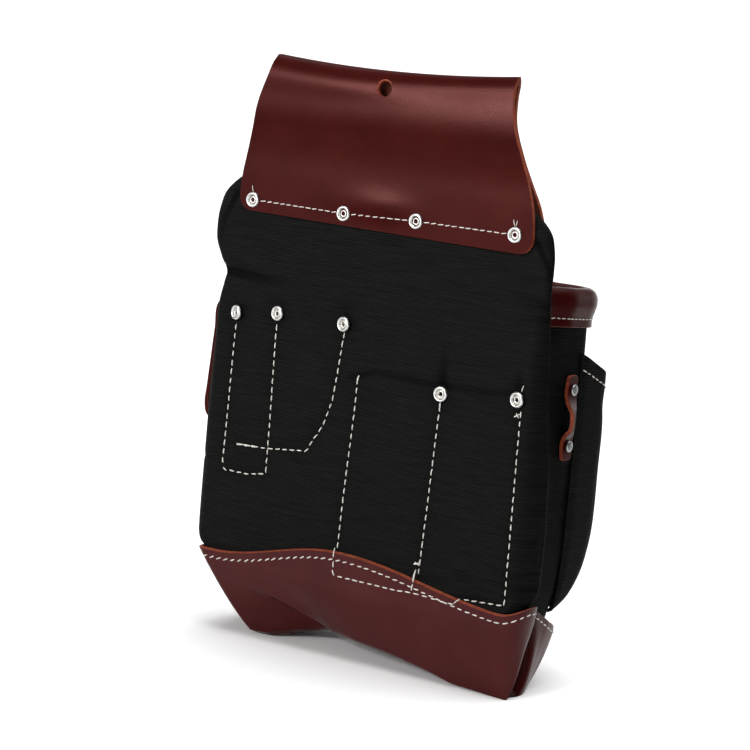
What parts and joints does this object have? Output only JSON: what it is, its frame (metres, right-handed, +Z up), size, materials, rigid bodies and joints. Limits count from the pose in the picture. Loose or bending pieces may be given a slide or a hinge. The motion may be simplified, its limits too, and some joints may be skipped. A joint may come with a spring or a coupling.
{
  "type": "tool pouch",
  "caption": "Belt-hung tool pouch: padded nylon back panel under a folded leather belt tunnel, riveted inner pockets, a main pouch, an outer pocket and a leather boot on which it stands.",
  "frame": {"origin": "middle of the part's box on the surface that it stands on", "axes": "+Z up, +X across the back panel towards the side with the short loop, +Y from the panel's outer face towards the pouches"},
  "size_m": [0.2574, 0.1096, 0.3592],
  "materials": {
    "leather": "smooth oiled oxblood leather with raw tan cut edges",
    "nylon": "black ribbed woven nylon, matt",
    "nickel": "bright nickel-plated tubular rivets",
    "steel_cap": "dull flat rivet caps",
    "thread": "off-white bonded thread"
  },
  "bodies": {
    "root": {"belt_tunnel": "leather", "pouch_lip": "leather", "boot": "leather", "side_loop_right": "leather", "side_loop_left": "leather", "back_panel": "nylon", "slot_pocket": "nylon", "sleeve_pocket": "nylon", "main_pouch": "nylon", "outer_pocket": "nylon", "tunnel_rivet_1": "nickel", "tunnel_rivet_2": "nickel", "tunnel_rivet_3": "nickel", "tunnel_rivet_4": "nickel", "panel_rivet_1": "nickel", "panel_rivet_2": "nickel", "panel_rivet_3": "nickel", "panel_rivet_4": "nickel", "panel_rivet_5": "nickel", "loop_rivet_right_top": "steel_cap", "loop_rivet_right_bottom": "steel_cap", "loop_rivet_left_top": "steel_cap", "loop_rivet_left_bottom": "steel_cap"}
  },
  "joints": []
}
